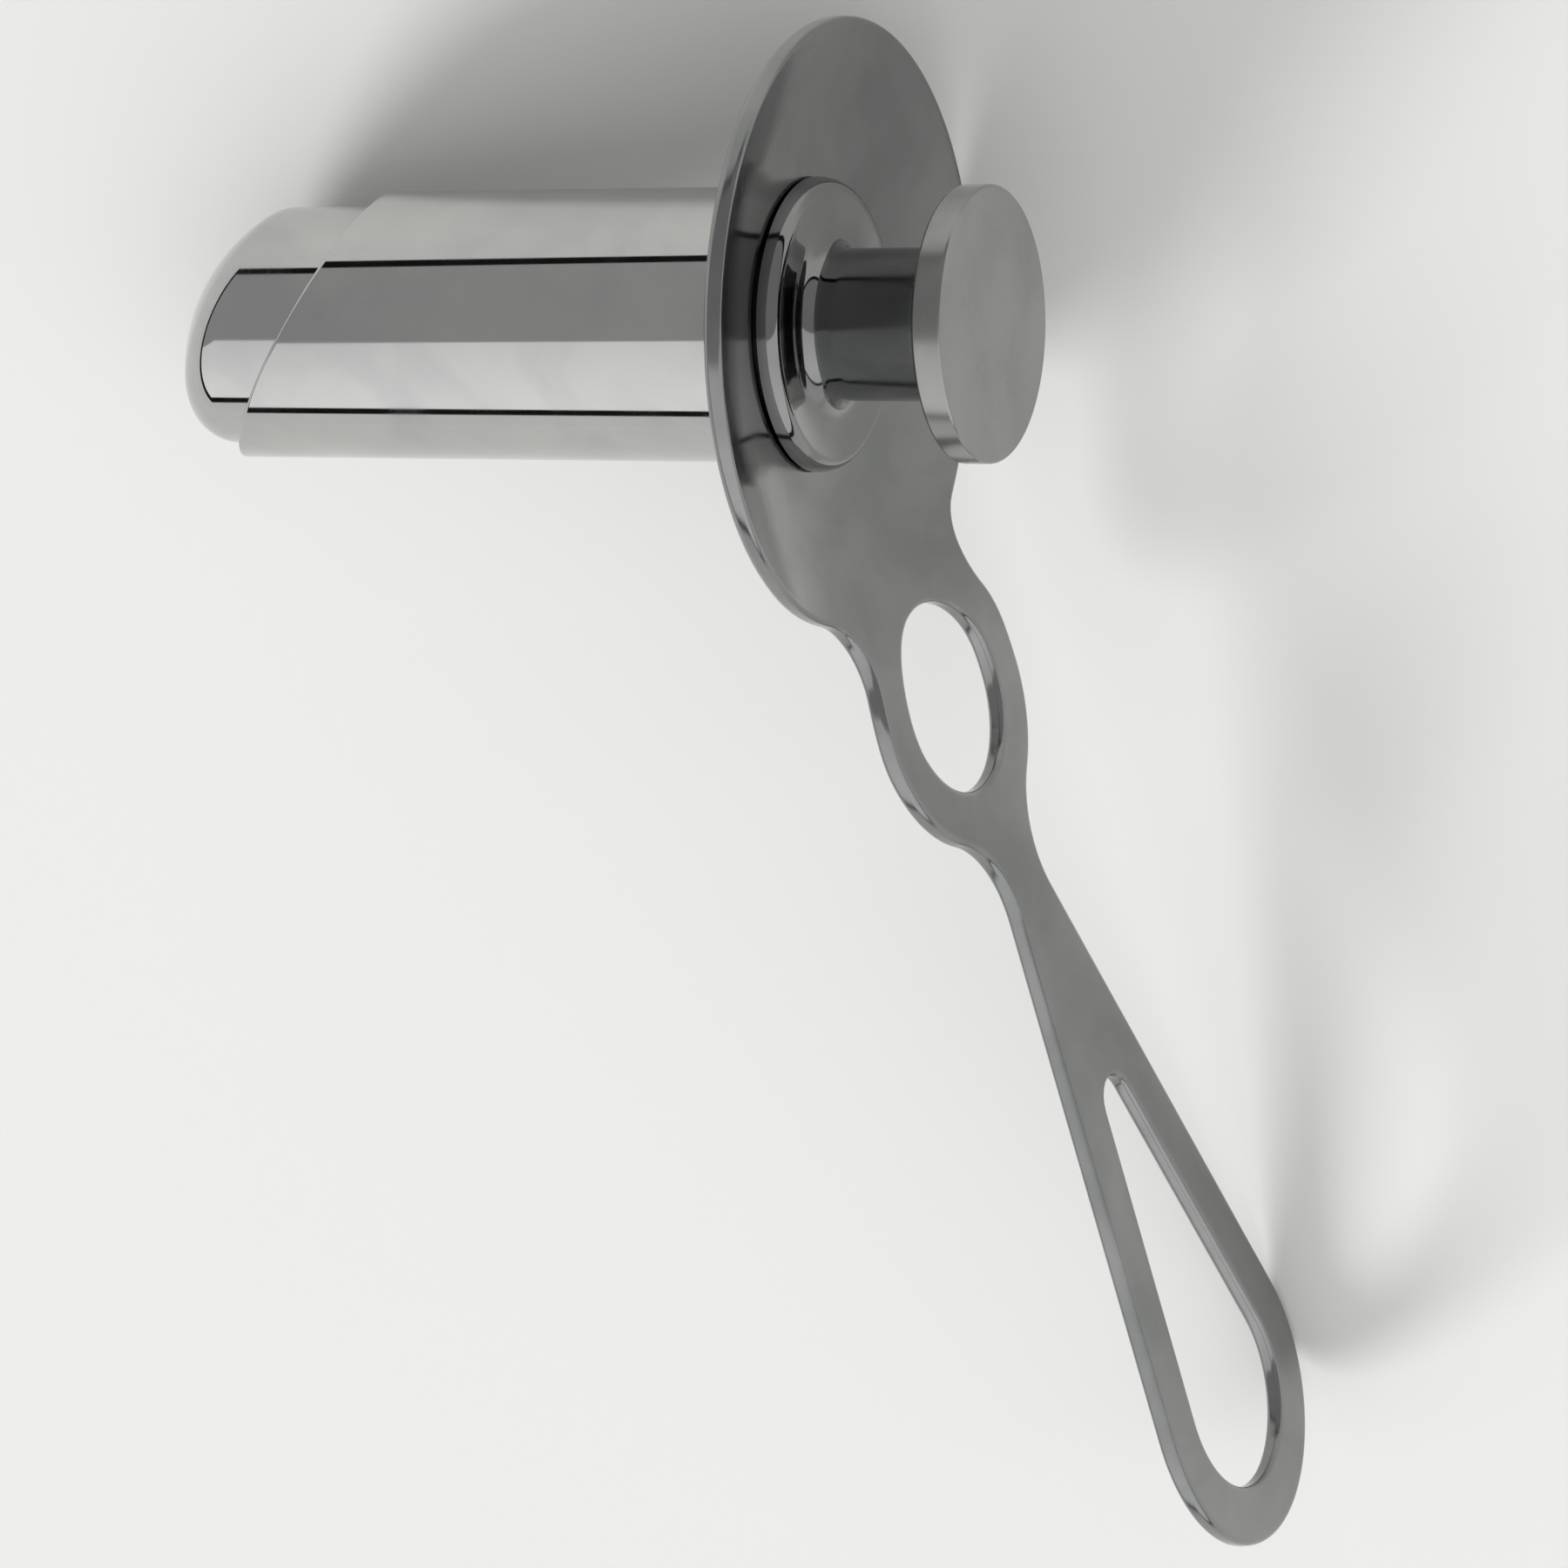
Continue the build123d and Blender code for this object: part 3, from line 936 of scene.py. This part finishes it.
@dataclass
class ObturatorShell:
    """Closed plug that fills the tube, with an oblique domed nose.

    Args:
        radius: Radius of the plug.
        mouth_x: Its near end, inside the stop disc.
        dome_x: Centre of the nose's sphere along the axis.
        dome_drop: How far that centre lies off the axis towards the handle.
        dome_r: Radius of the sphere.
        nose_round: Rounding between the sphere and the plug's side.
        dome_rings: Rings of facets over the sphere.
        round_rings: Rings over the rounding.
        wall_rings: Rings down the side.
    """

    radius: float = 13.4
    mouth_x: float = -4.0
    dome_x: float = -61.0
    dome_drop: float = 5.7
    dome_r: float = 20.9
    nose_round: float = 5.0
    dome_rings: int = 28
    round_rings: int = 16
    wall_rings: int = 6

    def place(self, ring: int, turn: float) -> Vector:
        """Where a point of the plug's surface lies.

        Args:
            ring: Number of the ring, from 0 at the nose's tip.
            turn: Angle round the axis from the instrument's +Z, in radians.

        Returns:
            The point, in instrument mm.
        """
        outward = Vector((0.0, math.sin(turn), math.cos(turn)))
        centre = Vector((self.dome_x, 0.0, -self.dome_drop))
        inner = self.radius - self.nose_round
        off_centre = inner**2 + 2 * inner * math.cos(turn) * self.dome_drop + self.dome_drop**2
        reach = (self.dome_r - self.nose_round) ** 2 - off_centre
        ball = outward * inner + Vector((self.dome_x - math.sqrt(reach), 0.0, 0.0))
        contact = (ball - centre).normalized()
        if ring <= self.dome_rings:
            depth = math.sqrt(self.dome_r**2 - self.dome_drop**2)
            tip = Vector((-depth, 0.0, self.dome_drop)).normalized()
            return centre + slerp(tip, contact, ring / self.dome_rings) * self.dome_r
        ring -= self.dome_rings
        if ring <= self.round_rings:
            return ball + slerp(contact, outward, ring / self.round_rings) * self.nose_round
        share = (ring - self.round_rings) / self.wall_rings
        return outward * self.radius + Vector((ball.x + (self.mouth_x - ball.x) * share, 0.0, 0.0))

    def build(self, shop: Workshop) -> bpy.types.Object:
        """Spin a plain plug, shape its nose and finish it.

        Args:
            shop: Workshop that finishes the piece.

        Returns:
            The piece's object.
        """
        mesh = bmesh.new()
        rings = self.dome_rings + self.round_rings + self.wall_rings
        lathe(mesh, [(float(i), 0.0 if i == 0 else self.radius) for i in range(rings + 1)])
        for vert in mesh.verts:
            vert.co = self.place(round(vert.co.x), math.atan2(vert.co.y, vert.co.z))
        mouth = [edge for edge in mesh.edges if edge.is_boundary]
        bmesh.ops.contextual_create(mesh, geom=mouth)
        bmesh.ops.recalc_face_normals(mesh, faces=mesh.faces)
        return shop.finish_piece(
            mesh, "domed_plug", MIRROR_TUBE, "obturator", "obturator_shell"
        )


@dataclass
class GripSpindle:
    """Stop disc and stem, turned in one piece.

    Args:
        back_x: Back of the disc.
        back_round: Rounding of the disc's back edge.
        disc_r: Radius of the disc.
        face_r: Radius at which the disc's rounded shoulder meets its face.
        face_x: The face at that radius.
        dish: How far the face is hollowed towards the stem.
        stem_r: Radius of the stem.
        stem_round: Fillet between face and stem.
        stem_end_x: End of the stem, inside the knob.
    """

    back_x: float = -4.25
    back_round: float = 0.2
    disc_r: float = 16.0
    face_r: float = 14.7
    face_x: float = -1.85
    dish: float = 0.7
    stem_r: float = 8.25
    stem_round: float = 2.2
    stem_end_x: float = 13.5

    def profile(self) -> list[Place]:
        """Profile from the back of the disc to the end of the stem.

        Returns:
            Its points: place along the axis and radius, in mm.
        """
        start = self.back_x + self.back_round
        foot = (self.face_x - self.dish, self.stem_r + self.stem_round)
        points = [(self.back_x, 0.0), (self.back_x, self.disc_r - self.back_round)]
        points += quarter((start, self.face_r), self.face_x - start, self.disc_r - self.face_r)
        for step in range(1, ARC_STEPS + 1):
            share = step / ARC_STEPS
            hollow = self.dish * math.sin(share * math.pi / 2)
            points.append((self.face_x - hollow, self.face_r + (foot[1] - self.face_r) * share))
        fillet = quarter((foot[0] + self.stem_round, foot[1]), -self.stem_round, -self.stem_round)
        points += fillet[-2::-1]
        return points + [(self.stem_end_x, self.stem_r), (self.stem_end_x, 0.0)]

    def build(self, shop: Workshop) -> bpy.types.Object:
        """Turn and finish the disc and stem.

        Args:
            shop: Workshop that finishes the piece.

        Returns:
            The piece's object.
        """
        mesh = bmesh.new()
        lathe(mesh, self.profile())
        return shop.finish_piece(
            mesh, "stop_disc_and_stem", SHADED_POLISHED_BAR, "obturator", "grip_spindle"
        )


@dataclass
class GripKnob:
    """Flat round knob on the stem's end.

    Args:
        radius: Radius of the knob.
        back_x: Its back face.
        front_x: Its front face.
        edge_round: Rounding of its edges.
        face_rings: Rings of facets across each face, as shares of the radius.
    """

    radius: float = 14.9
    back_x: float = 13.2
    front_x: float = 16.5
    edge_round: float = 0.35
    face_rings: tuple[float, ...] = (0.0, 0.5, 1.0)

    def build(self, shop: Workshop) -> bpy.types.Object:
        """Turn, round and finish the knob.

        Args:
            shop: Workshop that finishes the piece.

        Returns:
            The piece's object.
        """
        mesh = bmesh.new()
        back, front = (
            [(x, share * self.radius) for share in self.face_rings]
            for x in (self.back_x, self.front_x)
        )
        lathe(mesh, back + front[::-1])
        rims = [
            edge
            for edge in mesh.edges
            if all(off_axis(vert.co) > self.radius - ON_RIM for vert in edge.verts)
            and abs(edge.verts[0].co.x - edge.verts[1].co.x) < ON_RIM
        ]
        round_edges(mesh, rims, self.edge_round)
        return shop.finish_piece(
            mesh, "round_knob", SHADED_SATIN_BAR, "obturator", "grip_knob"
        )


@dataclass
class Sheath:
    """The part that is held in place: tube, flange and handle."""

    tube: SheathTube = field(default_factory=SheathTube)
    plate: HandlePlate = field(default_factory=HandlePlate)

    def build(self, shop: Workshop) -> None:
        """Build both pieces.

        Args:
            shop: Workshop that finishes the pieces.
        """
        self.tube.build(shop)
        self.plate.build(shop)


@dataclass
class Obturator:
    """The part that is drawn out: plug, stop disc, stem and knob."""

    shell: ObturatorShell = field(default_factory=ObturatorShell)
    spindle: GripSpindle = field(default_factory=GripSpindle)
    knob: GripKnob = field(default_factory=GripKnob)

    def build(self, shop: Workshop) -> None:
        """Build the three pieces.

        Args:
            shop: Workshop that finishes the pieces.
        """
        self.shell.build(shop)
        self.spindle.build(shop)
        self.knob.build(shop)


@dataclass(frozen=True)
class Studio:
    """Pale floor, soft two-tone sky, one soft key lamp and the camera.

    Args:
        floor_colour: sRGB colour of the floor.
        floor_rough: Roughness of the floor.
        floor_gloss: Its specular level.
        floor_size: Side of the floor, in metres.
        far_tone: Brightness of the sky on the side away from the handle.
        zenith_tone: Brightness overhead, just on the handle's side.
        near_tone: Brightness further down on the handle's side.
        near_reach: How far from overhead that is, as the sine of the angle.
        low_tone: Brightness below the dark band.
        band_tone: Brightness of the dark band.
        band_foot: Sine of the elevation where the band starts.
        band_top: Sine of the elevation where it ends.
        seam: Width of the soft steps between tones.
        key_from: Where the key lamp stands, as a direction.
        key_strength: Its strength.
        key_angle: How wide it looks, in degrees, which softens its shadows.
        lens: Focal length, in mm.
        sensor: Sensor width, in mm.
        sight: Nearest and furthest distance that the camera sees, in metres.
        camera_place: The camera's place in the instrument's frame, in mm.
        camera_right: Direction of the picture's right, in the instrument's frame.
        camera_up: Direction of the picture's top, in the instrument's frame.
    """

    floor_colour: str = "#e9e9e7"
    floor_rough: float = 0.9
    floor_gloss: float = 0.1
    floor_size: float = 6.0
    far_tone: float = 0.40
    zenith_tone: float = 1.0
    near_tone: float = 1.2
    near_reach: float = 0.7
    low_tone: float = 0.82
    band_tone: float = 0.01
    band_foot: float = 0.150
    band_top: float = 0.235
    seam: float = 0.012
    key_from: tuple[float, float, float] = (-0.68, -0.60, 0.42)
    key_strength: float = 2.3
    key_angle: float = 22.0
    lens: float = 120.0
    sensor: float = 36.0
    sight: tuple[float, float] = (0.01, 20.0)
    camera_place: tuple[float, float, float] = (232.16, -479.75, 194.53)
    camera_right: tuple[float, float, float] = (0.907, 0.3898, -0.1595)
    camera_up: tuple[float, float, float] = (-0.0357, 0.4484, 0.8931)

    def floor(self) -> None:
        """Plain pale floor."""
        mesh = bmesh.new()
        bmesh.ops.create_grid(mesh, x_segments=1, y_segments=1, size=self.floor_size / 2)
        data = bpy.data.meshes.new("studio_floor")
        mesh.to_mesh(data)
        mesh.free()
        made = bpy.data.materials.new("matt_paper_floor")
        made.use_nodes = True
        shader = made.node_tree.nodes["Principled BSDF"]
        shader.inputs["Base Color"].default_value = linear_colour(self.floor_colour)
        shader.inputs["Roughness"].default_value = self.floor_rough
        shader.inputs["Specular IOR Level"].default_value = self.floor_gloss
        data.materials.append(made)
        floor = bpy.data.objects.new("studio_floor", data)
        bpy.context.scene.collection.objects.link(floor)

    def sky(self) -> None:
        """Soft light from all round, brighter on the handle's side.

        Low down it is as pale as the floor, so that the floor has no visible end. A narrow dark band
        above that, out of every level view, draws the thin dark lines along the polished tube.
        """
        world = bpy.data.worlds.new("studio_sky")
        world.use_nodes = True
        bpy.context.scene.world = world
        tree = world.node_tree
        shade = tree.nodes["Background"]
        shade.inputs["Color"].default_value = linear_colour("#ffffff")
        look = add_node(tree, "ShaderNodeTexCoord")
        parts = add_node(tree, "ShaderNodeSeparateXYZ", {0: look.outputs["Generated"]}).outputs
        ends = ("From Min", "From Max", "To Min", "To Max")
        band_start = self.band_foot + self.seam
        side, fall, above, below = (
            add_node(
                tree,
                "ShaderNodeMapRange",
                {"Value": parts[axis], **dict(zip(ends, values))},
                interpolation_type=kind,
            ).outputs[0]
            for axis, kind, *values in (
                ("Y", "SMOOTHSTEP", self.seam, -self.seam, self.far_tone, self.zenith_tone),
                ("Y", "LINEAR", 0.0, -self.near_reach, 1.0, self.near_tone / self.zenith_tone),
                ("Z", "SMOOTHSTEP", self.band_top, self.band_top + self.seam, 0.0, 1.0),
                ("Z", "SMOOTHSTEP", band_start, self.band_foot, 0.0, self.low_tone),
            )
        )
        tone = side
        steps = ((fall, "MULTIPLY"), (above, "MULTIPLY"), (below, "ADD"), (self.band_tone, "ADD"))
        for other, operation in steps:
            pair = {0: tone, 1: other}
            tone = add_node(tree, "ShaderNodeMath", pair, operation=operation).outputs[0]
        tree.links.new(tone, shade.inputs["Strength"])

    def key(self) -> None:
        """One soft key lamp from the nose's side."""
        data = bpy.data.lights.new("soft_key", "SUN")
        data.energy = self.key_strength
        data.angle = math.radians(self.key_angle)
        lamp = bpy.data.objects.new("soft_key", data)
        lamp.rotation_mode = "QUATERNION"
        lamp.rotation_quaternion = Vector(self.key_from).to_track_quat("Z", "Y")
        lamp.visible_glossy = False
        bpy.context.scene.collection.objects.link(lamp)

    def camera(self, where: InstrumentFrame) -> None:
        """Set the camera at the photograph's place.

        Args:
            where: The instrument's frame.
        """
        data = bpy.data.cameras.new("photograph_view")
        data.lens, data.sensor_width = self.lens, self.sensor
        data.clip_start, data.clip_end = self.sight
        right = Vector(self.camera_right).normalized()
        back = right.cross(Vector(self.camera_up)).normalized()
        up = back.cross(right)
        turn = where.turn() @ Matrix((right, up, back)).transposed()
        eye = bpy.data.objects.new("photograph_view", data)
        place = where.laid() @ Vector(self.camera_place)
        eye.matrix_world = Matrix.Translation(place) @ turn.to_4x4()
        bpy.context.scene.collection.objects.link(eye)
        bpy.context.scene.camera = eye

    def build(self, where: InstrumentFrame) -> None:
        """Set up the floor, the light and the camera.

        Args:
            where: The instrument's frame.
        """
        bpy.context.scene.view_settings.view_transform = "Standard"
        self.camera(where)
        self.floor()
        self.sky()
        self.key()


def main() -> None:
    """Build the studio and the instrument, piece by piece."""
    logging.basicConfig(level=logging.INFO, format="%(message)s")
    sheath, obturator = Sheath(), Obturator()
    where = InstrumentFrame.from_record(frame["record"], sheath.plate.hole_place)
    LOG.info("handle leans %.2f degrees", math.degrees(where.lean))
    Studio().build(where)
    shop = Workshop(where)
    sheath.build(shop)
    obturator.build(shop)


if __name__ == "__main__":
    main()
